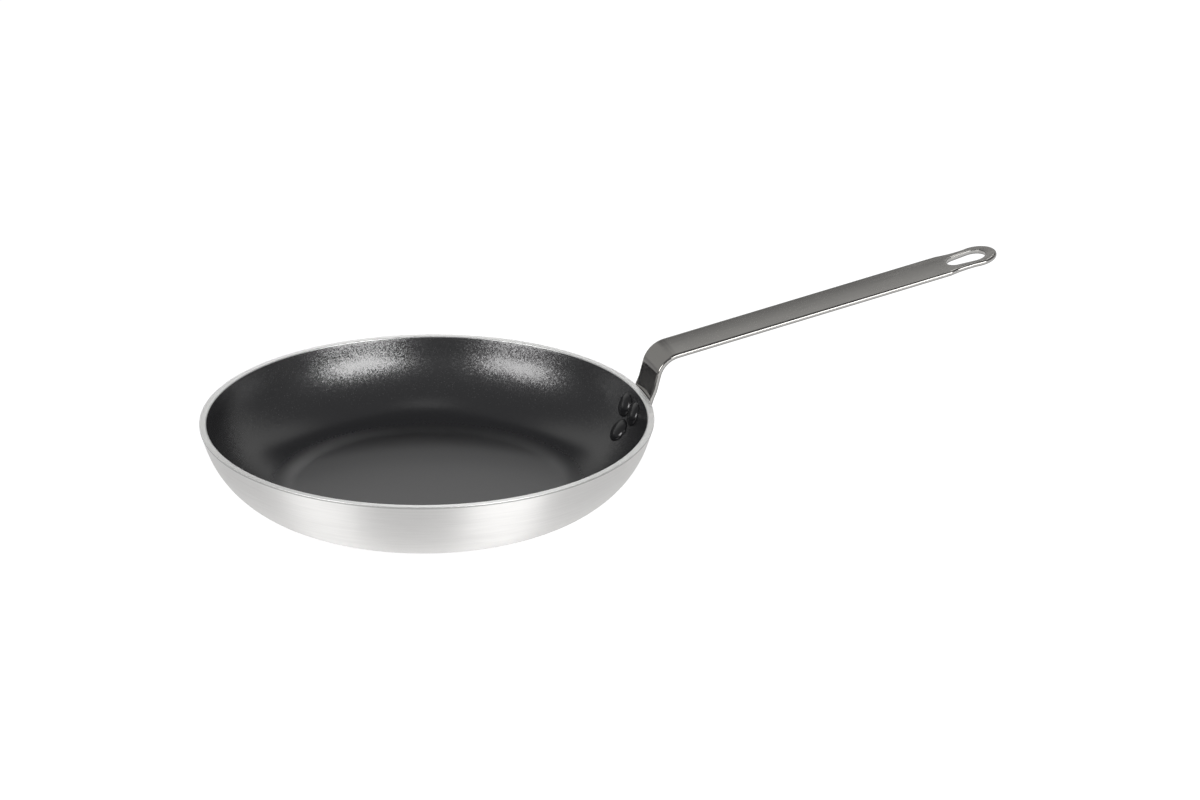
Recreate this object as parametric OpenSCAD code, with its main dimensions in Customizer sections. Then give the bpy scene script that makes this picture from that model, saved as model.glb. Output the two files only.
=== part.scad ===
// Omelette pan: a pressed aluminium bowl with a non-stick film inside and a
// strip steel handle held by three rivets. Millimetres, Z up. The origin is the
// centre of the flat underside, and the handle points along +X.

/* [Bowl] */
// Diameter over the rim
rim_d = 280; // [240:1:320]
// Height from the underside to the top of the rim
bowl_h = 50; // [46:1:70]
// Steepness of the side wall at the rim, from level
wall_angle = 72; // [62:0.5:78]
// Outside radius of the sweep from the floor into the wall
corner_r = 58; // [40:1:60]
// Thickness of the pressed sheet
sheet_t = 4.2; // [3:0.1:6]
// Height of the upright band turned round the outside of the rim
rim_band_h = 1.2; // [0.6:0.1:3]
// Bevel on the inner edge of the rim, where the film stops
rim_bevel = 0.4; // [0.2:0.1:0.8]

/* [Non-stick film] */
// Thickness of the film, drawn thicker than the sprayed coat
film_t = 0.2; // [0.1:0.05:0.5]
// Gap drawn between the film and the metal under it
film_gap = 0.02; // [0.01:0.01:0.05]

/* [Handle strip] */
// Width of the steel strip
strip_w = 29; // [27:0.5:34]
// Thickness of the steel strip
strip_t = 3; // [2:0.1:4]
// Gap drawn between the flange and the outside of the bowl
flange_gap = 0.05; // [0.02:0.01:0.2]
// Radius of the flange's lower end, about the lower rivet
flange_end_r = 16.5; // [15:0.5:20]
// Height of the outward lean at the foot of the neck
lean_h = 5; // [4:0.5:8]
// Steepness of that lean, from level
lean_angle = 58; // [50:1:65]
// Stand-off of the neck from the rim, at rim height
neck_gap = 0.6; // [0.4:0.1:2]
// Steepness of the neck, from level
neck_angle = 75.5; // [70:0.5:85]
// Length of the straight neck above the rim
neck_l = 15.5; // [12:0.5:40]
// Outside radius of the bend between neck and grip
bend_r = 17.6; // [10:0.2:30]
// Rise of the grip, from level
grip_angle = 10.5; // [0:0.5:25]
// Reach of the handle past the rim, measured level
handle_reach = 234; // [180:1:300]

/* [Handle head] */
// Width of the rounded head
head_w = 26.6; // [25:0.2:32]
// Width of the waist beside the slot
waist_w = 25.2; // [24:0.2:26.4]
// Distance of the waist from the tip
waist_back = 21.8; // [18:0.2:30]
// Radius of the shallow hollow in each edge at the waist
waist_r = 50; // [30:1:80]
// Length of the hanging slot
slot_l = 25.8; // [20:0.2:32]
// Width of the slot at its tip end
slot_tip_w = 16.2; // [12:0.2:18]
// Width of the slot at its neck end
slot_neck_w = 13; // [8:0.2:16]
// Metal left between the slot and the tip
slot_end_wall = 7.1; // [5:0.1:10]

/* [Rivets] */
// Diameter of a rivet shank
rivet_d = 6; // [4:0.1:7]
// Radial clearance round a shank
rivet_clearance = 0.05; // [0.02:0.01:0.15]
// Distance between the two upper rivets
rivet_pitch = 16.8; // [16.2:0.1:18]
// Distance of the upper rivets down the wall from the rim band
upper_rivet_drop = 12.7; // [10:0.1:16]
// Distance of the lower rivet down the wall from the rim band
lower_rivet_drop = 28.9; // [27:0.1:36]
// Diameter of the domed head inside the bowl
rivet_head_d = 15; // [11:0.1:15.5]
// Height of the domed head at its crown
rivet_head_h = 2.8; // [1.8:0.1:4]
// Height of the domed head at its edge
rivet_head_edge = 0.7; // [0.4:0.1:1.2]
// Diameter of the set head against the handle
set_head_d = 10.5; // [8:0.1:12]
// Height of the set head at its crown
set_head_h = 2.2; // [1.5:0.1:3.5]
// Height of the set head at its edge
set_head_edge = 0.8; // [0.4:0.1:1.2]

/* [Hidden] */
$fn = 128;
// Fineness of the bowl's own curves, which the small heads are seated on
bowl_fn = 720;

// Room that a cutting shape takes past the solid it cuts
cut = 10;
// How far an arc stands proud of the lines that it blends, so that they cross
tuck = 0.004;
rim_r = rim_d / 2;
// Height at which the sloping wall meets the upright band
band_z = bowl_h - rim_band_h;
// Height at which the sweep becomes the straight wall, and that wall's length
sweep_top = corner_r * (1 - cos(wall_angle));
wall_l = (band_z - sweep_top) / sin(wall_angle);
// Radius of the flat underside
base_r = rim_r - corner_r * sin(wall_angle) - wall_l * cos(wall_angle);

// Insets of the surfaces of revolution, measured inward from the outside
film_outer = sheet_t + film_gap;
film_inner = film_outer + film_t;
head_seat = film_inner + film_gap;
flange_inner = -flange_gap;
flange_outer = flange_inner - strip_t;
set_seat = flange_outer - film_gap;

tip_x = rim_r + handle_reach;
neck_x = rim_r + neck_gap;
// Side view of the handle: start and centre of the bend, end of the bend
bend_start = [neck_x + neck_l * cos(neck_angle), bowl_h + neck_l * sin(neck_angle)];
bend_centre = bend_start + bend_r * [sin(neck_angle), -cos(neck_angle)];
bend_end = bend_centre + bend_r * [-sin(grip_angle), cos(grip_angle)];
// Length of the grip from the end of the bend to the tip
grip_l = (tip_x - bend_end[0]) / cos(grip_angle);
// Width of the strip between its waist and its round head
throat_w = (waist_w + head_w) / 2;
// Length of strip drawn back from the tip, which takes in the flange
strip_l = tip_x - base_r;

// Radius of the wall at a height z, for a surface set in by inset
function wall_x(inset, z) =
    base_r + (corner_r - inset) * sin(wall_angle)
    + (z - corner_r + (corner_r - inset) * cos(wall_angle)) / tan(wall_angle);

// Place on the outside of the wall, as [radius, height, steepness], at a
// distance drop down from the rim band
function wall_place(drop) =
    drop < wall_l
        ? [
            rim_r - drop * cos(wall_angle),
            band_z - drop * sin(wall_angle),
            wall_angle
        ]
        : sweep_place(wall_angle - (drop - wall_l) / corner_r * 180 / PI);

function sweep_place(angle) = [
    base_r + corner_r * sin(angle),
    corner_r * (1 - cos(angle)),
    angle
];

// Radius of a sphere that makes a cap of width d and height h
function cap_r(d, h) = (d * d / 4 + h * h) / (2 * h);

// Rounds a corner of the shape that it is intersected with: a disc at centre, and
// all the plane as far as reach but the sector from the angle start to end
module corner_round(centre, r, start, end, reach) {
    turn = (360 + start - end) / 4;
    translate(centre) {
        circle(r + tuck, $fn = bowl_fn);
        polygon([
            [0, 0],
            for (i = [0 : 4]) reach * [cos(end + i * turn), sin(end + i * turn)]
        ]);
    }
}

// Half section of the bowl's outside, set in by inset, up to the height top
module bowl_section(inset, top) {
    intersection() {
        polygon([
            [0, inset],
            [wall_x(inset, inset), inset],
            [wall_x(inset, top), top],
            [0, top]
        ]);
        corner_round(
            [base_r, corner_r], corner_r - inset,
            start = -90, end = wall_angle - 90, reach = rim_d
        );
    }
}

// Turns a half section round the bowl's axis, with its seam opposite the handle
module turned() {
    rotate([0, 0, 180])
        rotate_extrude($fn = bowl_fn)
            children();
}

// Solid inside a surface of the bowl that is set in by inset
module bowl_solid(inset, top) {
    turned() bowl_section(inset, top);
}

// The same, with the lean at the foot of the neck, and open above that lean, as
// far out as extent
module flange_solid(inset, extent) {
    lean_x = wall_x(inset, bowl_h) + lean_h / tan(lean_angle);
    turned() {
        bowl_section(inset, bowl_h);
        polygon([
            [0, bowl_h],
            [wall_x(inset, bowl_h), bowl_h],
            [lean_x, bowl_h + lean_h],
            [extent, bowl_h + lean_h],
            [extent, extent],
            [0, extent]
        ]);
    }
}

// All that lies above a face of the handle, which is depth below its top face,
// as far as extent
module above_strip(depth, extent) {
    neck_dir = [cos(neck_angle), sin(neck_angle)];
    grip_dir = [cos(grip_angle), sin(grip_angle)];
    neck_top = bend_start + depth * [sin(neck_angle), -cos(neck_angle)];
    corner = neck_top + neck_dir * (bend_r - depth) * tan((neck_angle - grip_angle) / 2);
    foot = corner - neck_dir * (corner[1] + cut) / neck_dir[1];
    end = corner + grip_dir * (extent + cut);
    rotate([90, 0, 0])
        linear_extrude(height = strip_w + extent, center = true)
            difference() {
                translate([0, -cut]) square([end[0] - cut, extent + cut]);
                intersection() {
                    polygon([foot, corner, end, [end[0], -2 * cut]]);
                    corner_round(
                        bend_centre, bend_r - depth,
                        start = grip_angle + 90, end = neck_angle + 90, reach = 2 * extent
                    );
                }
            }
}

// Outline of the strip and its head, seen square to the grip; x = 0 is the tip
module strip_outline() {
    difference() {
        union() {
            translate([-strip_l, -strip_w / 2]) square([strip_l - waist_back, strip_w]);
            translate([-waist_back - cut, -throat_w / 2])
                square([waist_back + cut - head_w / 2, throat_w]);
            translate([-head_w / 2, 0]) circle(head_w / 2);
        }
        for (side = [-1, 1])
            translate([-waist_back, side * (waist_w / 2 + waist_r)]) circle(waist_r);
        hanging_slot();
    }
}

// The slot: two round ends of different widths joined by their tangents
module hanging_slot() {
    tip_r = slot_tip_w / 2;
    neck_r = slot_neck_w / 2;
    tip_c = -slot_end_wall - tip_r;
    neck_c = -slot_end_wall - slot_l + neck_r;
    lean = acos((tip_r - neck_r) / (tip_c - neck_c));
    touch = [-cos(lean), sin(lean)];
    translate([tip_c, 0]) circle(tip_r + tuck);
    translate([neck_c, 0]) circle(neck_r + tuck);
    polygon([
        [tip_c, 0] + tip_r * touch,
        [neck_c, 0] + neck_r * touch,
        [neck_c + neck_r * touch[0], -neck_r * touch[1]],
        [tip_c + tip_r * touch[0], -tip_r * touch[1]]
    ]);
}

// Moves a child drawn round the Z axis onto the wall, with +Z pointing out of
// the bowl and z = 0 on the outside of the sheet, at side mm from the middle
module on_wall(drop, side) {
    place = wall_place(drop);
    rotate([0, 0, asin(side / place[0])])
        translate([place[0], 0, place[1]])
            rotate([0, 180 - place[2], 0])
                children();
}

// Low dome of width d, crown h and edge height e, standing on z = 0 along +Z,
// with a straight foot going down by root
module dome(d, h, e, root) {
    r = cap_r(d, h - e);
    rotate_extrude() intersection() {
        translate([0, -root]) square([d / 2, root + h]);
        translate([0, h - r]) circle(r);
    }
}

module rivet_bore(drop, side) {
    on_wall(drop, side)
        translate([0, 0, -sheet_t - cut])
            cylinder(d = rivet_d + 2 * rivet_clearance, h = sheet_t + strip_t + 2 * cut);
}

module rivet_bores() {
    rivet_bore(upper_rivet_drop, rivet_pitch / 2);
    rivet_bore(upper_rivet_drop, -rivet_pitch / 2);
    rivet_bore(lower_rivet_drop, 0);
}

// Bowl of aluminium sheet, turned flat on the rim and bored for the rivets
module pan_body() {
    color([0.84, 0.84, 0.83])
        difference() {
            turned() difference() {
                intersection() {
                    bowl_section(0, bowl_h);
                    square([rim_r, bowl_h]);
                }
                bowl_section(sheet_t, bowl_h + cut);
                translate([0, bowl_h - rim_bevel])
                    polygon([
                        [0, 0],
                        [wall_x(sheet_t, bowl_h - rim_bevel), 0],
                        [wall_x(sheet_t, bowl_h) + rim_bevel, rim_bevel],
                        [wall_x(sheet_t, bowl_h) + rim_bevel, rim_bevel + cut],
                        [0, rim_bevel + cut]
                    ]);
            }
            rivet_bores();
        }
}

// Black non-stick film over the whole inside, up to the bevel of the rim
module nonstick_film() {
    color([0.2, 0.2, 0.21])
        difference() {
            turned() difference() {
                bowl_section(film_outer, bowl_h - rim_bevel);
                bowl_section(film_inner, bowl_h);
            }
            rivet_bores();
        }
}

// Steel strip: flange on the wall, lean over the rim, neck, bend, grip, head
module handle() {
    color([0.45, 0.44, 0.42])
        difference() {
            intersection() {
                flange_solid(flange_outer, extent = 2 * tip_x);
                above_strip(strip_t, extent = 2 * tip_x);
                translate([bend_end[0], 0, bend_end[1]])
                    rotate([0, -grip_angle, 0])
                        translate([grip_l, 0, 0])
                            linear_extrude(height = tip_x, center = true)
                                strip_outline();
            }
            intersection() {
                flange_solid(flange_inner, extent = 3 * tip_x);
                above_strip(0, extent = 3 * tip_x);
            }
            flange_trim();
            rivet_bores();
        }
}

// What is cut from the flange's lower end to leave it round about the lower rivet
module flange_trim() {
    on_wall(lower_rivet_drop, 0)
        difference() {
            translate([0, -strip_w, -strip_l / 2]) cube([strip_l, 2 * strip_w, strip_l]);
            cylinder(r = flange_end_r, h = 2 * strip_l, center = true);
        }
}

// Rivet: domed head inside the bowl, shank, and the head set on the handle
module rivet(drop, side) {
    color([0.62, 0.62, 0.61]) {
        intersection() {
            on_wall(drop, side)
                translate([0, 0, -head_seat])
                    mirror([0, 0, 1])
                        dome(rivet_head_d, rivet_head_h, rivet_head_edge, sheet_t);
            bowl_solid(head_seat, bowl_h);
        }
        on_wall(drop, side)
            translate([0, 0, -head_seat - rivet_head_edge])
                cylinder(
                    d = rivet_d,
                    h = head_seat + rivet_head_edge - set_seat + set_head_edge
                );
        difference() {
            on_wall(drop, side)
                translate([0, 0, -set_seat])
                    dome(set_head_d, set_head_h, set_head_edge, strip_t / 2);
            bowl_solid(set_seat, bowl_h);
        }
    }
}

// Film over a rivet's domed head
module film_cap(drop, side) {
    color([0.12, 0.12, 0.13])
        intersection() {
            on_wall(drop, side)
                translate([0, 0, -head_seat])
                    mirror([0, 0, 1])
                        difference() {
                            dome(
                                rivet_head_d + 2 * (film_gap + film_t),
                                rivet_head_h + film_gap + film_t,
                                rivet_head_edge + film_gap + film_t,
                                sheet_t
                            );
                            dome(
                                rivet_head_d + 2 * film_gap,
                                rivet_head_h + film_gap,
                                rivet_head_edge + film_gap,
                                sheet_t + cut
                            );
                        }
            bowl_solid(head_seat, bowl_h);
        }
}

module rivet_upper_rear() {
    rivet(upper_rivet_drop, rivet_pitch / 2);
}

module rivet_upper_front() {
    rivet(upper_rivet_drop, -rivet_pitch / 2);
}

module rivet_lower() {
    rivet(lower_rivet_drop, 0);
}

module film_cap_upper_rear() {
    film_cap(upper_rivet_drop, rivet_pitch / 2);
}

module film_cap_upper_front() {
    film_cap(upper_rivet_drop, -rivet_pitch / 2);
}

module film_cap_lower() {
    film_cap(lower_rivet_drop, 0);
}

pan_body();
nonstick_film();
handle();
rivet_upper_rear();
rivet_upper_front();
rivet_lower();
film_cap_upper_rear();
film_cap_upper_front();
film_cap_lower();
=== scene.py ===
# %% [markdown]
# An omelette pan on a pale table. This script then dresses each piece: it turns,
# blanks and bends cleaner meshes that lie in the same places, and gives every one
# of them a finish made of shader nodes. Lengths are written in millimetres and
# turned into metres once, because Blender works in metres.

# %% Load the solid pan
import bpy
import bmesh
import math
import numpy as np
from mathutils import Matrix, Vector


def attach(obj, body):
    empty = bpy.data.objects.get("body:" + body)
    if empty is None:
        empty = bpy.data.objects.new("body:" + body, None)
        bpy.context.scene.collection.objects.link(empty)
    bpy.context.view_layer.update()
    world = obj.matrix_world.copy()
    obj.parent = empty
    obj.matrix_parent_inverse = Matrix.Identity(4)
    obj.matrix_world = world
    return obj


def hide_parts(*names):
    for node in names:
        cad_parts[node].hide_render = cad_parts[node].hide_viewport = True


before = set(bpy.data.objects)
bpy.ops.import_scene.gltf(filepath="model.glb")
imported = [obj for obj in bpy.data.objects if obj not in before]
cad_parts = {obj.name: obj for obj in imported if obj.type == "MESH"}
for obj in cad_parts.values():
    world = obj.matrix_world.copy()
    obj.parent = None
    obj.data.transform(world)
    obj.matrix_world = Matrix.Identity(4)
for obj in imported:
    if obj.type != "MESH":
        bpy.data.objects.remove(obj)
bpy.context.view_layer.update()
MM = 0.001

# %% [markdown]
# The camera stands a long way off with a long lens, as a catalogue photographer
# would put it, so that the far rim looks almost as large as the near one. Its
# place and its lens were worked out from the ellipse of the rim and from the
# handle's edges, which is why the numbers are not round.

# %% Camera
LOOK_DOWN = math.radians(22.182)
LOOK_ROUND = math.radians(17.969)

camera_data = bpy.data.cameras.new("catalogue_lens")
camera_data.lens = 155.8
camera_data.sensor_width = 36
camera_data.clip_end = 60
camera = bpy.data.objects.new("catalogue_camera", camera_data)
camera.location = Vector((-811.3, -2846.8, 1267.7)) * MM
camera.rotation_euler = (math.pi / 2 - LOOK_DOWN, 0, -LOOK_ROUND)
bpy.context.scene.collection.objects.link(camera)
bpy.context.scene.camera = camera
bpy.context.scene.view_settings.view_transform = "Standard"
print("camera", [round(v, 3) for v in camera.location], "lens", camera_data.lens)

# %% [markdown]
# Materials are made of nodes. Their sums could be built from single Math nodes,
# but a long tree of them is hard to read. So one small class wraps a node's
# output and gives it Python's operators: `1 - a` adds a Math node, and a vector
# goes through Vector Math by itself.

# %% Shader sums written as Python
class Signal:
    """One output of a node, ready for sums."""

    def __init__(self, finish, socket):
        self.finish = finish
        self.socket = socket

    def _sum(self, operation, first, second):
        sockets = [v.socket for v in (first, second) if isinstance(v, Signal)]
        is_vector = any(s.type in ("VECTOR", "RGBA") for s in sockets)
        kind = "ShaderNodeVectorMath" if is_vector else "ShaderNodeMath"
        if is_vector:
            first, second = (
                (v, v, v) if isinstance(v, (int, float)) else v for v in (first, second)
            )
        return self.finish.node(kind, {"operation": operation}, {0: first, 1: second})

    def __add__(self, other):
        return self._sum("ADD", self, other)

    def __radd__(self, other):
        return self._sum("ADD", other, self)

    def __sub__(self, other):
        return self._sum("SUBTRACT", self, other)

    def __rsub__(self, other):
        return self._sum("SUBTRACT", other, self)

    def __mul__(self, other):
        return self._sum("MULTIPLY", self, other)

    def __rmul__(self, other):
        return self._sum("MULTIPLY", other, self)


print("shader sums ready")

# %% [markdown]
# A second class keeps the node tree of one finish. Its method node makes any
# node from a type, its settings and its sockets. The other methods are short
# names for what comes back in most finishes, such as a noise, a soft step and a
# blend of two colours. The world is a node tree too, so it uses the same class.

# %% The node tree of one finish
class Finish:
    """The node tree of one material, or of the world."""

    def __init__(self, owner):
        owner.use_nodes = True
        self.tree = owner.node_tree
        self.tree.nodes.clear()

    def node(self, kind, settings=None, sockets=None, output=0):
        """A new node: its settings first, then the values or links of its sockets."""
        made = self.tree.nodes.new(kind)
        for name, value in (settings or {}).items():
            setattr(made, name, value)
        for name, value in (sockets or {}).items():
            target = made.inputs[name]
            if isinstance(value, Signal):
                self.tree.links.new(value.socket, target)
            elif target.type == "RGBA" and len(value) == 3:
                target.default_value = (*value, 1)
            else:
                target.default_value = value
        found = made.outputs[output] if made.outputs else None
        return Signal(self, found)

    def noise(self, place, scale, detail=2.0, roughness=0.5):
        return self.node(
            "ShaderNodeTexNoise", {"noise_dimensions": "3D"},
            {"Vector": place, "Scale": scale, "Detail": detail, "Roughness": roughness},
        )

    def step(self, value, low, high):
        """0 below low, 1 above high, and a soft change between them."""
        return self.node(
            "ShaderNodeMapRange", {"interpolation_type": "SMOOTHSTEP"},
            {"Value": value, "From Min": low, "From Max": high},
        )

    def blend(self, factor, first, second):
        """Colours go through Mix, which keeps them coloured."""
        return self.node(
            "ShaderNodeMix", {"data_type": "RGBA"},
            {0: factor, 6: first, 7: second}, output=2,
        )

    def split(self, vector):
        parts = self.node("ShaderNodeSeparateXYZ", {}, {0: vector}).socket.node
        return [Signal(self, s) for s in parts.outputs]

    def join(self, x, y, z):
        return self.node("ShaderNodeCombineXYZ", {}, {0: x, 1: y, 2: z})

    def bump(self, height, distance, normal=None):
        sockets = {"Height": height, "Distance": distance, "Strength": 1.0}
        if normal:
            sockets["Normal"] = normal
        return self.node("ShaderNodeBump", {}, sockets)

    def surface(self, **sockets):
        """The main shader, with its sockets named in words."""
        names = {
            words.replace("_", " ").title().replace("Ior", "IOR"): value
            for words, value in sockets.items()
        }
        shader = self.node("ShaderNodeBsdfPrincipled", {}, names)
        self.node("ShaderNodeOutputMaterial", {}, {"Surface": shader})
        return shader


def new_finish(name):
    material = bpy.data.materials.new(name)
    return material, Finish(material)


print("finishes ready")

# %% [markdown]
# Brushed metal that was finished on a lathe has its fine lines running round the
# axis. To draw such lines without a seam, the noise is read at a place made of
# the direction from the axis, which changes slowly, and of the distance along
# the profile, which changes quickly. On a wall that flares outward, radius plus
# height grows all the way from the foot to the rim, so it serves as that
# distance on the wall, on the flat base and on the rim alike. How long a line
# looks is set by arc_mm, and how close the lines lie by lines_per_mm.

# %% A place for lathe lines
ARC_AT_RADIUS = 130


def lathe_place(finish, lines_per_mm, arc_mm):
    """Noise coordinates that are stretched round the axis."""
    x, y, z = finish.split(finish.node("ShaderNodeTexCoord", output="Object"))
    level = finish.join(x, y, 0.0)
    around = finish.node("ShaderNodeVectorMath", {"operation": "NORMALIZE"}, {0: level})
    radius = finish.node(
        "ShaderNodeVectorMath", {"operation": "LENGTH"}, {0: level}, output="Value"
    )
    along = (radius + z) * (lines_per_mm / MM)
    ax, ay, _ = finish.split(around * (ARC_AT_RADIUS / arc_mm))
    return finish.join(ax, ay, along)


print("lathe lines measured at a radius of", ARC_AT_RADIUS, "mm")

# %% [markdown]
# The outside of the bowl is bare aluminium, brushed round the pan. The scratches
# are much too fine to model, but what shows is that they throw a highlight across
# the lines. The shader's Anisotropic does the same, with its rotation at a
# quarter turn: lamps at the left and right then show as broad upright bands of
# light. Streaks of two lengths change the colour and the roughness a little, and
# a very low bump breaks up the reflections.

# %% Finish of the brushed wall
wall_metal, f = new_finish("brushed_aluminium_wall")
fine = f.noise(lathe_place(f, lines_per_mm=2.2, arc_mm=22), 1.0, detail=3.0)
broad = f.noise(lathe_place(f, lines_per_mm=0.45, arc_mm=38), 1.0, detail=2.0)
cloud = f.noise(f.node("ShaderNodeTexCoord", output="Object"), 22.0)
streak = fine * 0.6 + broad * 0.4
f.surface(
    base_color=f.blend(streak, (0.65, 0.643, 0.632), (0.88, 0.873, 0.862)),
    metallic=1.0,
    roughness=0.46 + (streak - 0.5) * 0.30 + (cloud - 0.5) * 0.08,
    anisotropic=0.95,
    anisotropic_rotation=0.25,
    normal=f.bump(streak, 0.012 * MM),
)
print("finish", wall_metal.name)

# %% [markdown]
# The rim is turned flat on a lathe after the coat is baked, which bares a bright
# ring of metal. Cuts of a turning tool are finer and more even than brushing, so
# this finish is brighter and smoother, with closer lines. The outer edge band
# has a rougher cut and looks darker. The base gets wider tool marks. The three
# are one function, called with other numbers.

# %% Finishes of the turned rim, band and base
def turned_finish(name, low, high, roughness, lines_per_mm, depth, uneven=0.2):
    """Metal between two colours, with tool marks of a depth in mm."""
    material, f = new_finish(name)
    cuts = f.noise(lathe_place(f, lines_per_mm, arc_mm=60), 1.0, detail=2.0)
    f.surface(
        base_color=f.blend(cuts, low, high),
        metallic=1.0,
        roughness=roughness + (cuts - 0.5) * uneven,
        anisotropic=0.6,
        anisotropic_rotation=0.25,
        normal=f.bump(cuts, depth * MM),
    )
    print("finish", name)
    return material


rim_metal = turned_finish(
    "turned_rim_land", (0.94, 0.94, 0.93), (0.99, 0.99, 0.98),
    roughness=0.40, lines_per_mm=3.0, depth=0.0006, uneven=0.05,
)
band_metal = turned_finish(
    "turned_edge_band", (0.34, 0.34, 0.33), (0.52, 0.52, 0.51),
    roughness=0.42, lines_per_mm=2.5, depth=0.010,
)
base_metal = turned_finish(
    "turned_base", (0.62, 0.62, 0.61), (0.85, 0.85, 0.84),
    roughness=0.32, lines_per_mm=1.4, depth=0.020,
)

# %% [markdown]
# The inside is sprayed with a black non-stick coat and baked. On the wall it
# dries with a fine grain, each bead of it facing a little to one side, and it
# carries flakes of mineral. A bump of such fine noise would only blur a lamp's
# reflection. So the beads are Voronoi cells, each of which leans the surface's
# normal by its own random amount, and the reflection breaks up into bright and
# dark specks. The flakes are small metallic spots. On the floor the coat lies
# even but duller, and shows one wide sheen. Height above the table tells the
# shader where the floor ends and where the grain is full.

# %% Finish of the non-stick coat
FLOOR_END, OFF_FLOOR = 4.6 * MM, 8 * MM
GRAIN_START, GRAIN_FULL = 6 * MM, 24 * MM
FLOOR_LEAN, WALL_LEAN = 0.008, 0.11

nonstick, f = new_finish("black_nonstick_coat")
spot = f.node("ShaderNodeTexCoord", output="Object")
_, _, height = f.split(spot)
sprayed = f.step(height, GRAIN_START, GRAIN_FULL)
off_floor = f.step(height, FLOOR_END, OFF_FLOOR)
cells = f.node("ShaderNodeTexVoronoi", {}, {"Vector": spot, "Scale": 1700.0}, output="Color")
facing = f.node("ShaderNodeNewGeometry", output="Normal")
tilted = f.node(
    "ShaderNodeVectorMath", {"operation": "NORMALIZE"},
    {0: facing + (cells - 0.5) * (FLOOR_LEAN + sprayed * WALL_LEAN)},
)
pebbles = f.noise(spot, 700.0, detail=2.0, roughness=0.6)
flakes = f.step(f.noise(spot, 1300.0, detail=1.0), 0.64, 0.76) * sprayed
drift = f.noise(spot, 9.0)
f.surface(
    base_color=f.blend(flakes, (0.0080, 0.0080, 0.0088), (0.07, 0.07, 0.072)),
    metallic=flakes * 0.3,
    roughness=(
        0.335 - off_floor * 0.115 + sprayed * 0.03
        + (pebbles - 0.5) * 0.07 + (drift - 0.5) * 0.04
    ),
    ior=1.6,
    specular_ior_level=0.85,
    normal=f.bump(pebbles * (0.04 + sprayed * 0.96), 0.012 * MM, tilted),
)
print("finish", nonstick.name)

# %% [markdown]
# The handle is cold-rolled steel strip, tumbled until its edges are round and
# its skin is an even grey. Rolling leaves faint lines along the strip. Noise that
# is read at a point's place in space would cut across the bend, so this finish
# reads a place that is stored on the mesh before the strip is bent: the lines
# then follow the strip round its bend. The cut edge is brighter and has
# the speckled look of sheared metal. Its lower part, the rounding towards the
# underside, is painted dark grey as the shade that falls there, and the face's
# finish takes a little of that painted shade on the underside.

# %% Finishes of the steel strip
# Depths below the top face where the painted shade on the lower part of the strip starts and
# where it is full.
UNDER_SHADE_START, UNDER_SHADE_FULL = 1.7 * MM, 2.5 * MM
LONG_WAY, CROSS_WAY = 30.0, 900.0


def strip_finish(name, low, high, roughness, speckle_and_shade, depth):
    """Steel between two colours, from smooth rolled skin to speckled cut edge, with painted shade
    low on the strip.
    """
    material, f = new_finish(name)
    flat = f.node("ShaderNodeAttribute", {"attribute_name": "blank_place"}, output="Vector")
    along, across, deep = f.split(flat)
    drawn = f.join(along * LONG_WAY, across * CROSS_WAY, deep * CROSS_WAY)
    rolled = f.noise(drawn, 1.0, detail=2.0)
    pits = f.noise(flat, 1100.0, detail=2.0)
    cloud = f.noise(flat, 60.0, detail=3.0)
    mark = rolled * (0.7 - speckle_and_shade * 0.5) + pits * (0.3 + speckle_and_shade * 0.5)
    # Painted shade: below those depths the colour turns to a dark grey (0.22). It stands in for
    # the shade under the strip's rounded lower edge, and the speckle setting also sets how strong
    # it is.
    painted_under_shade = f.step(deep * -1, UNDER_SHADE_START, UNDER_SHADE_FULL) * speckle_and_shade
    f.surface(
        base_color=f.blend(painted_under_shade, f.blend(mark, low, high), (0.22, 0.216, 0.208)),
        metallic=1.0,
        roughness=roughness + (mark - 0.5) * 0.25 + (cloud - 0.5) * 0.10,
        normal=f.bump(mark, depth * MM),
    )
    print("finish", name)
    return material


# The face takes a fifth of the speckle and of the painted shade, and the cut edge takes all of
# both.
strip_face = strip_finish(
    "tumbled_strip_face", (0.30, 0.293, 0.279), (0.36, 0.349, 0.332),
    roughness=0.10, speckle_and_shade=0.2, depth=0.002,
)
strip_edge = strip_finish(
    "sheared_strip_edge", (0.30, 0.295, 0.285), (0.62, 0.61, 0.59),
    roughness=0.32, speckle_and_shade=1.0, depth=0.030,
)

# %% [markdown]
# The rivets are aluminium. Inside the bowl their heads were sprayed and baked
# with the pan, but they are smoother than the bowl and come out glossy. Outside
# they are bare metal, set by a press tool that leaves a satin skin with shallow
# dents. Those are too low to change a head's outline, so a bump is enough.

# %% Finishes of the rivets
rivet_black, f = new_finish("glossy_rivet_coat")
spot = f.node("ShaderNodeTexCoord", output="Object")
skin = f.noise(spot, 1400.0, detail=2.0)
f.surface(
    base_color=f.blend(skin, (0.008, 0.008, 0.0085), (0.014, 0.014, 0.015)),
    roughness=0.16 + (skin - 0.5) * 0.10,
    specular_ior_level=0.6,
    normal=f.bump(skin, 0.006 * MM),
)
rivet_bare, f = new_finish("satin_rivet_metal")
spot = f.node("ShaderNodeTexCoord", output="Object")
skin = f.noise(spot, 700.0, detail=3.0)
dents = f.noise(spot, 240.0, detail=1.0)
f.surface(
    base_color=f.blend(skin, (0.58, 0.58, 0.57), (0.80, 0.80, 0.79)),
    metallic=1.0,
    roughness=0.33 + (skin - 0.5) * 0.2,
    normal=f.bump(skin * 0.3 + dents, 0.05 * MM),
)
print("finishes", rivet_black.name, rivet_bare.name)

# %% [markdown]
# The bowl is a solid of revolution, so all its shapes come from one profile that
# is turned about the Z axis. The sizes below repeat the ones of the solid model:
# a flat base, a sweep of one radius, and a straight wall that flares at 72
# degrees. A surface that lies further in has the same centre and a smaller
# radius, which keeps the sheet's thickness even.

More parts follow.
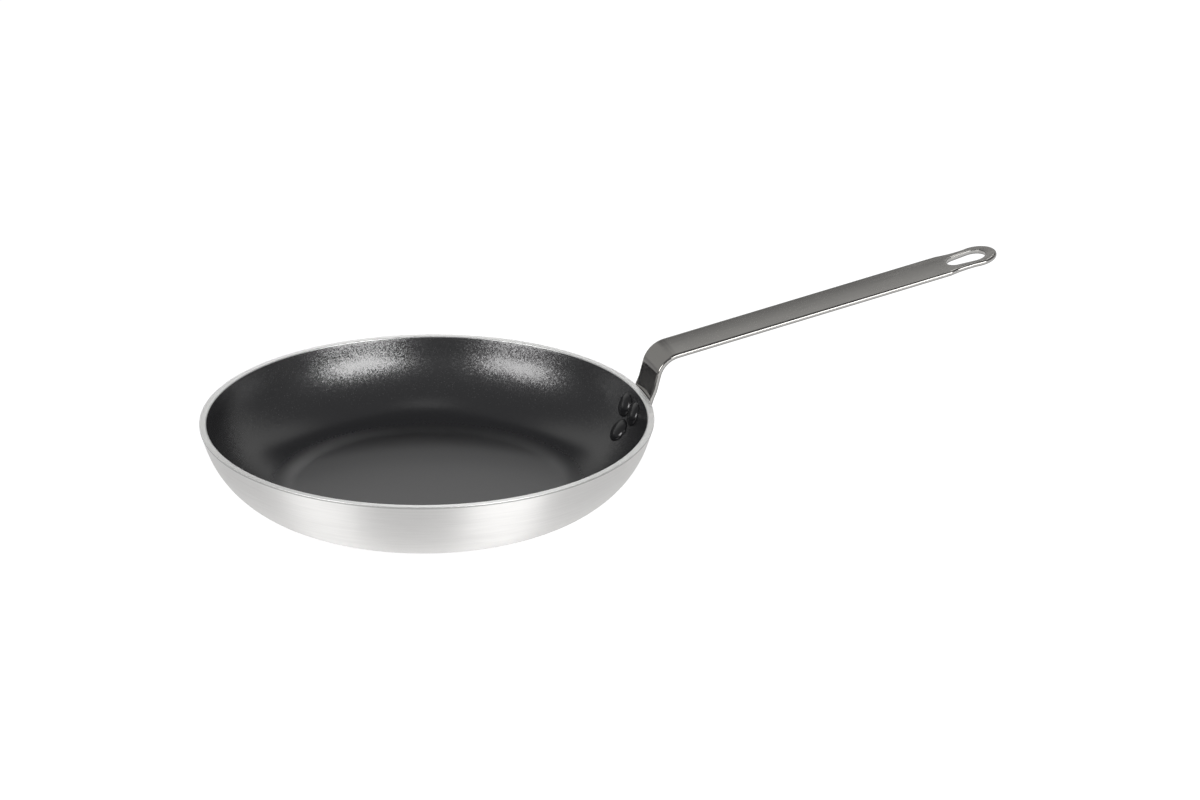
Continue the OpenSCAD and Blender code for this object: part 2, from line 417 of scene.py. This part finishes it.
# %% Sizes and the profile of the bowl
RIM_R = 140.0
BOWL_H = 50.0
WALL = math.radians(72)
CORNER_R = 58.0
BAND_Z = 48.8
BEVEL = 0.4
SHEET = 4.2
SWEEP_TOP = CORNER_R * (1 - math.cos(WALL))
WALL_L = (BAND_Z - SWEEP_TOP) / math.sin(WALL)
BASE_R = RIM_R - CORNER_R * math.sin(WALL) - WALL_L * math.cos(WALL)
FLOOR_RINGS = (0, 0.02, 0.2, 0.4, 0.6, 0.8, 0.93)


def wall_radius(inset, z):
    """Radius of the straight wall at a height, for a surface set in by inset."""
    inner = CORNER_R - inset
    return BASE_R + inner * math.sin(WALL) + (
        z - CORNER_R + inner * math.cos(WALL)
    ) / math.tan(WALL)


def bowl_profile(inset, top, steps=34):
    """Points from the axis along the floor, up the sweep and up the wall."""
    inner = CORNER_R - inset
    floor = [(BASE_R * share, inset) for share in FLOOR_RINGS]
    sweep = [
        (BASE_R + inner * math.sin(a), CORNER_R - inner * math.cos(a))
        for a in (WALL * i / steps for i in range(steps + 1))
    ]
    end = sweep[-1][1]
    wall = [(wall_radius(inset, z), z) for z in np.linspace(end, top, 6)[1:]]
    return floor + sweep + wall


print("flat base across", round(2 * BASE_R, 1), "mm")

# %% [markdown]
# Every piece of the pan is shaded smooth. A Bevel modifier could round its
# corners, but each corner has a radius of its own, so they are rounded in the
# mesh itself. Weighted normals then keep the flat stretches flat right up to
# those small arcs.

def finish_mesh(piece):
    """Smooth shading that leaves large faces flat, then the piece is attached to the root body.
    """
    for face in piece.data.polygons:
        face.use_smooth = True
    weighted = piece.modifiers.new("flat_faces_stay_flat", "WEIGHTED_NORMAL")
    weighted.mode = "FACE_AREA_WITH_ANGLE"
    weighted.weight = 90
    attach(piece, "root")
    size = [round(v / MM, 1) for v in piece.dimensions]
    print(piece.name, len(piece.data.polygons), "faces,", size, "mm")


print("shading ready")

# %% [markdown]
# A turned piece is made here as a ring of copies of its profile, joined by
# four-sided faces. Blender could do the same with its Screw modifier, but mesh
# code lets each stretch of the profile take its own finish, and lets the points
# on the axis be one point each. Two stretches may end and start at the same
# point, which then counts once.

# %% Turning a profile into a mesh
SAME_POINT = 1e-6


def turn_profile(name, stretches, materials, around=288, place=None):
    """stretches: lists of (radius, z) in mm with the number of their material."""
    points, finishes = [], []
    for number, stretch in stretches:
        for point in stretch:
            if points and math.dist(points[-1], point) < SAME_POINT:
                continue
            if points:
                finishes.append(number)
            points.append(point)
    mesh = bmesh.new()
    rings = []
    for radius, z in points:
        if radius < SAME_POINT:
            rings.append([mesh.verts.new((0, 0, z * MM))] * around)
            continue
        rings.append([
            mesh.verts.new((
                radius * MM * math.cos(2 * math.pi * i / around),
                radius * MM * math.sin(2 * math.pi * i / around),
                z * MM,
            ))
            for i in range(around)
        ])
    for low, high, number in zip(rings, rings[1:], finishes):
        for i in range(around):
            j = (i + 1) % around
            corners = list(dict.fromkeys([low[i], low[j], high[j], high[i]]))
            mesh.faces.new(corners).material_index = number
    bmesh.ops.recalc_face_normals(mesh, faces=mesh.faces)
    data = bpy.data.meshes.new(name)
    mesh.to_mesh(data)
    mesh.free()
    for material in materials:
        data.materials.append(material)
    piece = bpy.data.objects.new(name, data)
    bpy.context.scene.collection.objects.link(piece)
    if place is not None:
        data.transform(place)
    return piece


print("turning ready")

# %% [markdown]
# Rounded corners and round ends are short arcs. One helper gives the points of
# an arc between two angles, and serves both the profiles that are turned and the
# flat outline of the handle.

# %% Points of an arc
def arc(centre, radius, start, end, steps=5):
    """Points of an arc, with its angles in degrees."""
    turns = [math.radians(a) for a in np.linspace(start, end, steps + 1)]
    return [
        (centre[0] + radius * math.cos(a), centre[1] + radius * math.sin(a)) for a in turns
    ]


print("quarter of a circle in", len(arc((0, 0), 1, 0, 90)) - 1, "steps")

# %% [markdown]
# The bowl is pressed from aluminium sheet 4.2 mm thick. Its profile goes from
# the middle of the underside up the outside, over the rim, and down the inside
# under the coat. The rim's outer edge is broken by a file, which leaves an edge
# about a quarter of a millimetre round, and the tool leaves a small bevel where
# the coat stops. Each stretch of the profile names the finish that it takes.

# %% Bowl
WALL_SKIN, RIM_SKIN, BAND_SKIN, BASE_SKIN = range(4)
EDGE = 0.25
INNER_EDGE = 0.12
BEVEL_LEAD = 0.1
MARGIN = 0.01
outside = bowl_profile(0, BAND_Z)
base_points = [p for p in outside if p[0] <= BASE_R + MARGIN]
wall_points = [p for p in outside if p[0] >= BASE_R - MARGIN]
band_start = BAND_Z + 2 * MARGIN
inside_top = BOWL_H - BEVEL
bevel_low = (wall_radius(SHEET, inside_top), inside_top)
land_end = wall_radius(SHEET, BOWL_H) + BEVEL + BEVEL_LEAD
inside = bowl_profile(SHEET, inside_top)[::-1]
bowl = turn_profile(
    "dressed_bowl",
    [
        (BASE_SKIN, base_points),
        (WALL_SKIN, wall_points),
        (BAND_SKIN, [(RIM_R, band_start), (RIM_R, BOWL_H - EDGE)]),
        (RIM_SKIN, arc((RIM_R - EDGE, BOWL_H - EDGE), EDGE, 0, 90)),
        (RIM_SKIN, [(r, BOWL_H) for r in np.linspace(RIM_R - EDGE, land_end, 4)]),
        (RIM_SKIN, arc((land_end, BOWL_H - INNER_EDGE), INNER_EDGE, 90, 130, 3)),
        (RIM_SKIN, [bevel_low]),
        (WALL_SKIN, inside),
    ],
    [wall_metal, rim_metal, band_metal, base_metal],
)
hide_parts("pan_body")
finish_mesh(bowl)

# %% [markdown]
# The coat covers the whole inside and ends at the rim's bevel. A Solidify
# modifier could thicken a single surface, but here the bevel shapes the edge. So
# the coat is turned as a closed skin: up the wall on the side that faces the
# food, round a thin edge, and back down against the metal.

# %% Non-stick coat
GAP = 0.02
COAT = 0.2
COAT_LIP = 0.08
coat_back = bowl_profile(SHEET + GAP, inside_top)
coat_front = bowl_profile(SHEET + GAP + COAT, inside_top - COAT_LIP)
coat_edge = (coat_back[-1][0] - COAT / 2, inside_top)
coat = turn_profile("dressed_coat", [(0, coat_front + [coat_edge] + coat_back[::-1])], [nonstick])
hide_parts("nonstick_film")
finish_mesh(coat)

# %% [markdown]
# Three rivets hold the handle, two side by side and one below them. Each is
# given by two lengths: how far down the wall it stands, and how far to the side.
# It stands square to the wall, so its place is found by going down the profile
# from the rim, first along the straight wall and then along the sweep. The
# matrix made here carries a rivet turned about Z to that place, with its Z axis
# pointing out of the bowl. It moves the mesh and not the object, so that all
# pieces share the pan's coordinates.

# %% Where the rivets stand
RIVETS = {
    "upper_rear": (12.7, 8.4),
    "upper_front": (12.7, -8.4),
    "lower": (28.9, 0.0),
}


def wall_place(drop):
    """Radius, height and steepness of the outside, going down from the band."""
    if drop < WALL_L:
        return RIM_R - drop * math.cos(WALL), BAND_Z - drop * math.sin(WALL), WALL
    angle = WALL - (drop - WALL_L) / CORNER_R
    return (
        BASE_R + CORNER_R * math.sin(angle), CORNER_R * (1 - math.cos(angle)), angle
    )


def rivet_matrix(drop, side):
    """Carries a rivet from the Z axis to its place, with its Z axis outward."""
    radius, height, steepness = wall_place(drop)
    return (
        Matrix.Rotation(math.asin(side / radius), 4, "Z")
        @ Matrix.Translation((radius * MM, 0, height * MM))
        @ Matrix.Rotation(math.pi - steepness, 4, "Y")
    )


for rivet_name, (drop, side) in RIVETS.items():
    print(rivet_name, [round(v / MM, 1) for v in rivet_matrix(drop, side).translation], "mm")

# %% [markdown]
# A domed head is half of a flat ellipse turned round, standing on a short upright
# edge. Its side gets steeper all the way to the edge, and that steep part is
# what catches a lamp. The points go from the crown outward, and the same ones
# serve the head inside the bowl, its coat, and the set head outside.

# %% Profile of a domed head
HEAD_W, HEAD_H = 15, 2.8
HEAD_EDGE = 0.15


def dome_points(width, crown, foot, edge=HEAD_EDGE):
    """(radius, height) from the crown to the foot below the seat."""
    half = width / 2
    return [
        (half * math.sin(a), edge + (crown - edge) * math.cos(a))
        for a in np.linspace(0, math.pi / 2, 22)
    ] + [(half, foot)]


print("edge of a head", [round(v, 2) for v in dome_points(HEAD_W, HEAD_H, 0)[-2]], "mm")

# %% [markdown]
# Each rivet is one turned piece: the domed head inside the bowl, the shank
# through coat, bowl and strip, and the set head outside. The coat on the inner
# head is a thin shell with the same dome inside and out. The seats are measured
# from the outside of the bowl, and small gaps keep the pieces from touching. A
# foot goes a little past its seat, so that no light shows under a head.

# %% Rivets and the coat on their heads
STRIP_T = 3.0
FLANGE_GAP = 0.05
SHANK_R = 3.0
SET_W, SET_H = 10.5, 2.2
HEAD_FOOT, CAP_FOOT, SET_FOOT = -0.6, -0.5, -0.4
COATED = GAP + COAT
HEAD_SEAT = -(SHEET + 2 * GAP + COAT)
SET_SEAT = STRIP_T + FLANGE_GAP + GAP
head = [(r, HEAD_SEAT - z) for r, z in dome_points(HEAD_W, HEAD_H, HEAD_FOOT)]
set_head = [(r, SET_SEAT + z) for r, z in dome_points(SET_W, SET_H, SET_FOOT)]
shank = [(SHANK_R, head[-1][1]), (SHANK_R, set_head[-1][1])]
cap_out = dome_points(HEAD_W + 2 * COATED, HEAD_H + COATED, CAP_FOOT, HEAD_EDGE + COATED)
cap_in = dome_points(HEAD_W + 2 * GAP, HEAD_H + GAP, CAP_FOOT, HEAD_EDGE + GAP)
for rivet_name, (drop, side) in RIVETS.items():
    carry = rivet_matrix(drop, side)
    rivet = turn_profile(
        "dressed_rivet_" + rivet_name, [(0, head + shank + set_head[::-1])],
        [rivet_bare], around=72, place=carry,
    )
    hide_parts("rivet_" + rivet_name)
    finish_mesh(rivet)
    cap = turn_profile(
        "dressed_cap_" + rivet_name,
        [(0, [(r, HEAD_SEAT - z) for r, z in cap_out + cap_in[::-1]])],
        [rivet_black], around=96, place=carry,
    )
    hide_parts("film_cap_" + rivet_name)
    finish_mesh(cap)

# %% [markdown]
# The handle starts as a flat blank, cut from steel strip with its slot and its
# rivet holes, and is bent afterwards. It is made the same way here, with u along
# the strip and u = 0 at the rim. First come the sizes of its side view: a steep
# neck, a bend of one radius and a long grip. They give the length that the flat
# strip needs above the rim.

# %% Sizes of the handle
STRIP_W = 29.0
NECK_OUT, REACH = 0.6, 234.0
NECK_X = RIM_R + NECK_OUT
NECK = math.radians(75.5)
GRIP = math.radians(10.5)
NECK_L = 15.5
BEND_R = 17.6
TIP_X = RIM_R + REACH
BEND_L = BEND_R * (NECK - GRIP)
bend_start = np.array([NECK_X + NECK_L * math.cos(NECK), BOWL_H + NECK_L * math.sin(NECK)])
bend_centre = bend_start + BEND_R * np.array([math.sin(NECK), -math.cos(NECK)])
bend_end = bend_centre + BEND_R * np.array([-math.sin(GRIP), math.cos(GRIP)])
GRIP_L = (TIP_X - bend_end[0]) / math.cos(GRIP)
TIP_U = NECK_L + BEND_L + GRIP_L
BAND_L = (BOWL_H - BAND_Z) / math.sin(WALL)
print("length of the strip above the rim", round(TIP_U, 1), "mm")

# %% [markdown]
# A Boolean modifier could cut the slot and the holes out of a plate, but it leaves
# uneven faces, which would show after the bend. So the outlines are drawn as rows
# of points, made of arcs. The lower end is round about the lowest rivet. Near the
# tip each side has a shallow hollow, the waist, which runs into the round head.
# The slot is an egg shape: two arcs, joined by the lines that touch both. The
# holes are a little wider than the rivets.

# %% Outlines of the blank, its slot and its holes
END_R = 16.5
HEAD_R = 13.3
WAIST_R, WAIST_HALF, WAIST_BACK = 50.0, 12.6, 21.8
SLOT_TIP_R, SLOT_NECK_R, SLOT_L = 8.1, 6.5, 25.8
TIP_WALL = 7.1
HOLE_R = 3.05


def strip_outline():
    """The outside of the blank, anticlockwise, in mm."""
    half = STRIP_W / 2
    corner = math.degrees(math.asin(half / END_R))
    low_u = -(BAND_L + RIVETS["lower"][0])
    end = arc((low_u, 0), END_R, 180 - corner, 180 + corner, 30)
    waist = (TIP_U - WAIST_BACK, -(WAIST_HALF + WAIST_R))
    lead = math.degrees(math.acos((WAIST_HALF + WAIST_R - half) / WAIST_R))
    head_centre = (TIP_U - HEAD_R, 0)
    apart = math.dist(waist, head_centre)
    towards = math.degrees(math.atan2(-waist[1], head_centre[0] - waist[0]))
    offset = math.degrees(
        math.acos((apart**2 + WAIST_R**2 - HEAD_R**2) / (2 * apart * WAIST_R))
    )
    side = arc(waist, WAIST_R, 90 + lead, towards + offset, 16)
    meet = math.degrees(math.atan2(side[-1][1], side[-1][0] - head_centre[0]))
    tip = arc(head_centre, HEAD_R, meet, -meet, 44)
    far_side = [(u, -y) for u, y in side][::-1]
    return end + side + tip[1:-1] + far_side


def slot_outline():
    """The slot, wider at the tip, with lines that touch both of its arcs."""
    tip_c = TIP_U - TIP_WALL - SLOT_TIP_R
    neck_c = TIP_U - TIP_WALL - SLOT_L + SLOT_NECK_R
    lean = math.degrees(math.acos((SLOT_TIP_R - SLOT_NECK_R) / (tip_c - neck_c)))
    return (
        arc((tip_c, 0), SLOT_TIP_R, lean - 180, 180 - lean, 36)
        + arc((neck_c, 0), SLOT_NECK_R, 180 - lean, 180 + lean, 28)
    )


holes = [
    arc((-(BAND_L + drop), side), HOLE_R, 0, 360, 24)[:-1] for drop, side in RIVETS.values()
]
print("outline of", len(strip_outline()), "points, slot of", len(slot_outline()))

# %% [markdown]
# Tumbling rounds the strip's long edges well and the edges of the slot less.
# Each rounded edge is a set of rings: the outline, moved inward by a little at
# each depth. A ring's points move square to the outline, and at a corner along
# the line that halves it. The upper rounding keeps the finish of the face, since
# tumbling has rubbed it, and only the rest counts as the cut edge.

# %% Rings of an outline
EDGE_ROUND = 1.2
HOLE_ROUND = 0.5
ROUND_STEPS = 5


def outline_rings(mesh, outline, outward, edge_round):
    """Rings of one outline from the top face to the back, with rounded edges."""
    points = np.array(outline)
    before, after = np.roll(points, 1, 0), np.roll(points, -1, 0)
    first, second = points - before, after - points
    first /= np.linalg.norm(first, axis=1)[:, None]
    second /= np.linalg.norm(second, axis=1)[:, None]
    mean = first + second
    normal = np.stack([mean[:, 1], -mean[:, 0]], 1)
    normal /= np.linalg.norm(normal, axis=1)[:, None]
    side = np.stack([first[:, 1], -first[:, 0]], 1)
    normal /= np.sum(normal * side, 1)[:, None]
    quarter = [math.radians(a) for a in np.linspace(0, 90, ROUND_STEPS + 1)]
    shape = [
        (edge_round * (1 - math.sin(a)), edge_round * (1 - math.cos(a))) for a in quarter
    ]
    back = [(inset, STRIP_T - depth) for inset, depth in shape[::-1]]
    rings = []
    for inset, depth in shape + back:
        moved = points - outward * normal * inset
        rings.append([mesh.verts.new((u * MM, y * MM, -depth * MM)) for u, y in moved])
    for k, (upper, lower) in enumerate(zip(rings, rings[1:])):
        for i in range(len(upper)):
            j = (i + 1) % len(upper)
            face = mesh.faces.new([upper[i], upper[j], lower[j], lower[i]])
            face.material_index = 1 if k >= ROUND_STEPS - 1 else 0
    return rings[0], rings[-1]


def ring_edges(mesh, ring):
    return [mesh.edges.get((a, b)) for a, b in zip(ring, ring[1:] + ring[:1])]


print("edges rounded by", EDGE_ROUND, "mm, those of slot and holes by", HOLE_ROUND, "mm")

# %% [markdown]
# The two flat faces are filled between the rings. Bending then needs points to
# bend at, so the flat blank is sliced by planes: close together where it will
# curve, and far apart along the straight grip. Each slice only adds edges inside
# faces that are still flat, so the blank keeps its exact shape until it is bent.

# %% Faces and slices of the blank
LENGTHWISE, CROSSWISE = 0, 1
ON_PLANE = 1e-6
flange_cuts = np.arange(-46, 8, 1.5)
bend_cuts = np.arange(NECK_L - 0.6, NECK_L + BEND_L + 0.7, 0.6)
grip_cuts = np.arange(NECK_L + BEND_L + 6, TIP_U - 36, 12)
width_cuts = np.arange(-12, 12.1, 3)

mesh = bmesh.new()
tops, backs = [], []
for outline, outward, edge_round in [
    (strip_outline(), 1, EDGE_ROUND), (slot_outline(), -1, HOLE_ROUND)
] + [(hole, -1, HOLE_ROUND) for hole in holes]:
    upper, lower = outline_rings(mesh, outline, outward, edge_round)
    tops += ring_edges(mesh, upper)
    backs += ring_edges(mesh, lower)
for edges in (tops, backs):
    filled = bmesh.ops.triangle_fill(mesh, edges=edges, use_beauty=True)
    for face in filled["geom"]:
        if isinstance(face, bmesh.types.BMFace):
            face.material_index = 0
along_cuts = np.concatenate([flange_cuts, bend_cuts, grip_cuts])
slices = [(u, LENGTHWISE) for u in along_cuts] + [(y, CROSSWISE) for y in width_cuts]
for place, axis in slices:
    bmesh.ops.bisect_plane(
        mesh, geom=mesh.verts[:] + mesh.edges[:] + mesh.faces[:],
        plane_co=[place * MM if i == axis else 0 for i in range(3)],
        plane_no=[1 if i == axis else 0 for i in range(3)], dist=ON_PLANE,
    )
bmesh.ops.recalc_face_normals(mesh, faces=mesh.faces)
blank = bpy.data.meshes.new("strip_blank")
mesh.to_mesh(blank)
mesh.free()
for material in (strip_face, strip_edge):
    blank.materials.append(material)
print("blank", len(blank.vertices), "points,", len(blank.polygons), "faces")

# %% [markdown]
# The bend itself is a rule for points. One Simple Deform modifier could bend the
# grip and another could wrap the flange, but they would not agree where the two
# meet. Below the rim the strip lies against the bowl, wrapped round it. Above the
# rim it is the straight neck, the bend and the straight grip, all flat across.
# Within a few millimetres of the rim the two are blended, as the press does.

# %% The rule for bending
BLEND_START, BLEND_L = 0.3, 6.0
STRAIGHT_FROM = -8


def strip_path(u):
    """Place and outward lean of the strip's top face at u, in its side view."""
    if u <= NECK_L:
        place = np.array([NECK_X + u * math.cos(NECK), BOWL_H + u * math.sin(NECK)])
        return place, NECK
    if u <= NECK_L + BEND_L:
        angle = NECK - (u - NECK_L) / BEND_R
        turn = np.array([-math.sin(angle), math.cos(angle)])
        return bend_centre + BEND_R * turn, angle
    past = u - NECK_L - BEND_L
    return bend_end + past * np.array([math.cos(GRIP), math.sin(GRIP)]), GRIP


def flange_path(u):
    """The same against the bowl, where the wall and its sweep give the path."""
    drop = -u - BAND_L
    radius, height, steepness = wall_place(max(drop, 0))
    if drop < 0:
        radius, height = radius - drop * math.cos(WALL), height - drop * math.sin(WALL)
    off_wall = FLANGE_GAP * np.array([math.sin(steepness), -math.cos(steepness)])
    return np.array([radius, height]) + off_wall, steepness


def bent(u, y, depth):
    """A point of the blank, in mm, after bending."""
    (r, z), lean = flange_path(u)
    r, z = r + depth * math.sin(lean), z - depth * math.cos(lean)
    turn = y / max(r, 1)
    wrapped = np.array([r * math.cos(turn), r * math.sin(turn), z])
    (x, z), lean = strip_path(max(u, STRAIGHT_FROM))
    flat = np.array([x + depth * math.sin(lean), y, z - depth * math.cos(lean)])
    share = min(max((u - BLEND_START) / BLEND_L, 0), 1)
    share = share * share * (3 - 2 * share)
    return wrapped * (1 - share) + flat * share


for u in (0, NECK_L, TIP_U):
    print("u", round(u, 1), "goes to", [round(float(v), 1) for v in bent(u, 0, 0)], "mm")

# %% [markdown]
# Now the blank is bent. The place that each point had in the flat blank is kept
# as an attribute, which the strip's finish reads. Rolled strip isn't quite flat
# across: its top face is about a tenth of a millimetre lower in the middle. The
# eye doesn't see that as a shape, but as a light stripe along the near side, so
# it is put in before the bend.

# %% Handle
HOLLOW = 0.12


def hollowed(y, depth):
    """Depth after rolling, which leaves the top face a little lower in the middle."""
    return depth + HOLLOW * (1 - (y / (STRIP_W / 2)) ** 2) * (1 - depth / STRIP_T)


places = np.zeros(len(blank.vertices) * 3)
blank.vertices.foreach_get("co", places)
places = places.reshape(-1, 3)
kept = blank.attributes.new("blank_place", "FLOAT_VECTOR", "POINT")
kept.data.foreach_set("vector", places.ravel())
curved = np.array([
    bent(u / MM, y / MM, hollowed(y / MM, -d / MM)) for u, y, d in places
]) * MM
blank.vertices.foreach_set("co", curved.ravel())
blank.update()
handle = bpy.data.objects.new("dressed_handle", blank)
bpy.context.scene.collection.objects.link(handle)
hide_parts("handle")
finish_mesh(handle)
print("handle tip at", round(curved[:, 0].max() / MM, 1), "mm")

# %% [markdown]
# A catalogue picture has a pure white ground, but a table that is lit until it
# turns white would flood the pan with light. So the table and the room are bright
# only to the camera, to reflections and through glass. The Light Path node tells
# which kind of ray is looking, and one helper reads it for both.

# %% Rays that look straight at a thing
def seen_directly(finish):
    """1 for camera, glossy and transmitted rays, 0 for the light that bounces."""
    rays = finish.node("ShaderNodeLightPath").socket.node.outputs
    camera_ray, glossy, through = (
        Signal(finish, rays[n])
        for n in ("Is Camera Ray", "Is Glossy Ray", "Is Transmission Ray")
    )
    seen = finish.node("ShaderNodeClamp", {}, {"Value": camera_ray + glossy + through})
    return seen, camera_ray


print("rays told apart")

# %% [markdown]
# The table is a plain pale plane. A share of it stays a real lit surface for all
# rays, and that share keeps the pan's shadow. The rest glows, for the rays that
# look straight at it. Behind the pan reflections see the table dimmer, because
# the lamps stand in front: the bend of the handle would show a white band
# otherwise.

# %% Table
TABLE_Z = -0.4 * MM
DIM_START, DIM_FULL = 0.30, 0.50

table_white, f = new_finish("pale_table")
seen, camera_ray = seen_directly(f)
lit = f.node(
    "ShaderNodeBsdfDiffuse", {},
    {"Color": f.blend(seen, (0.80, 0.80, 0.80), (0.38, 0.38, 0.38))},
)
_, to_the_back, _ = f.split(f.node("ShaderNodeTexCoord", output="Object"))
dimmer = f.step(to_the_back, DIM_START, DIM_FULL) * (1 - camera_ray)
glow = f.node(
    "ShaderNodeEmission", {},
    {
        "Color": f.blend(dimmer, (1, 1, 1), (0.25, 0.25, 0.25)),
        "Strength": seen * 0.60 + camera_ray * 0.22,
    },
)
both = f.node("ShaderNodeAddShader", {}, {0: lit, 1: glow})
f.node("ShaderNodeOutputMaterial", {}, {"Surface": both})
bpy.ops.mesh.primitive_plane_add(size=40, location=(0, 0, TABLE_Z))
table = bpy.context.object
table.name = "pale_table"
table.data.materials.append(table_white)
print("table at", round(table.location.z / MM, 2), "mm")

# %% [markdown]
# Two soft boxes stand in front of the pan, one at each side of the camera. Their
# reflections in the coat's far wall were traced back to find where they stand
# and how wide they are. A lamp's place is given by a compass bearing, counted
# from +Y towards +X, and by its height over the horizon, both in degrees. The
# energy grows with the area, so that brightness means the same for both.

# %% Lamps
LAMP_AWAY = 1.8
AIM_AT = Vector((0, 0, 0.03))


def soft_box(name, bearing, height, width, tall, brightness):
    """An area lamp by its compass bearing from +Y and its height, in degrees."""
    b, h = math.radians(bearing), math.radians(height)
    lamp = bpy.data.lights.new(name, "AREA")
    lamp.shape = "RECTANGLE"
    lamp.size, lamp.size_y = width, tall
    lamp.energy = math.pi * width * tall * brightness
    holder = bpy.data.objects.new(name, lamp)
    holder.location = LAMP_AWAY * Vector(
        (math.sin(b) * math.cos(h), math.cos(b) * math.cos(h), math.sin(h))
    )
    aim = AIM_AT - holder.location
    holder.rotation_euler = aim.to_track_quat("-Z", "Y").to_euler()
    holder.visible_camera = False
    bpy.context.scene.collection.objects.link(holder)
    print(name, "at", [round(v, 2) for v in holder.location], round(lamp.energy, 1), "W")


soft_box("soft_box_right", bearing=158, height=27, width=1.15, tall=0.68, brightness=8.2)
soft_box("soft_box_left", bearing=250, height=26, width=1.10, tall=0.66, brightness=6.6)

# %% [markdown]
# The room round the pan shows in its bright and glossy parts, so it isn't one
# even grey. A picture of a studio could light it, but a few patches with soft
# borders are enough, and each can be moved by itself. The helpers below pick out
# parts of the room: turned_from measures how far a direction is turned from a
# bearing, within picks the directions near that bearing, and above picks those
# over a height. The border of a patch lies between its two angles, in degrees.

# %% Parts of the room
world = bpy.data.worlds.new("studio_room")
bpy.context.scene.world = world
f = Finish(world)
x, y, rise = f.split(f.node("ShaderNodeTexCoord", output="Generated"))
level = f.node("ShaderNodeVectorMath", {"operation": "NORMALIZE"}, {0: f.join(x, y, 0.0)})


def turned_from(bearing):
    """Cosine of the angle, seen from above, between a direction and a bearing."""
    b = math.radians(bearing)
    return f.node(
        "ShaderNodeVectorMath", {"operation": "DOT_PRODUCT"},
        {0: level, 1: (math.sin(b), math.cos(b), 0.0)}, output="Value",
    )


from_back = turned_from(19)


def within(low, high, middle=from_back):
    """1 up to low degrees to either side of the middle, 0 beyond high degrees."""
    return f.step(middle, math.cos(math.radians(high)), math.cos(math.radians(low)))


def above(low, high):
    """0 below low degrees over the horizon, 1 above high degrees."""
    return f.step(rise, math.sin(math.radians(low)), math.sin(math.radians(high)))


print("room measured from its back, behind the pan")

# %% [markdown]
# The parts are laid over each other, the later ones on top. The room is dim,
# with a paler wall behind the pan. That wall is brightest in a band that the
# grip mirrors, and darker below it. Above the band hangs a dark screen, which
# leaves the coat black. In front of the screen shines a narrow bright strip,
# which gives the floor of the pan its sheen. Overhead is one more pale patch,
# which rounded edges mirror towards the camera. The camera itself sees plain
# white, and the light that bounces between surfaces sees an even grey.

# %% The room
pale_wall = within(45, 66) * (1 - above(45, 58))
band_foot = above(21, 24.5)
room = f.blend(pale_wall, (0.22, 0.22, 0.225), (0.52, 0.52, 0.515))
room = f.blend(within(11, 20) * band_foot, room, (0.68, 0.68, 0.675))
room = f.blend(within(18, 28) * (1 - band_foot), room, (0.45, 0.45, 0.445))
near_middle = within(11, 17)
screen_foot = above(25, 30.5) * near_middle + above(27.5, 31) * (1 - near_middle)
room = f.blend(within(28, 38) * screen_foot, room, (0.10, 0.10, 0.105))
room = f.blend(above(81, 86), room, (0.55, 0.55, 0.55))
strip = within(1.5, 6, turned_from(17.5)) * above(28, 32) * (1 - above(42, 48))
room = f.blend(strip, room, (3.7, 3.7, 3.68))
seen, camera_ray = seen_directly(f)
colour = f.blend(seen, (0.45, 0.45, 0.46), room)
colour = f.blend(camera_ray, colour, (1, 1, 1))
sky = f.node("ShaderNodeBackground", {}, {"Color": colour, "Strength": 1.0})
f.node("ShaderNodeOutputWorld", {}, {"Surface": sky})
print("room made of", len(f.tree.nodes), "nodes")
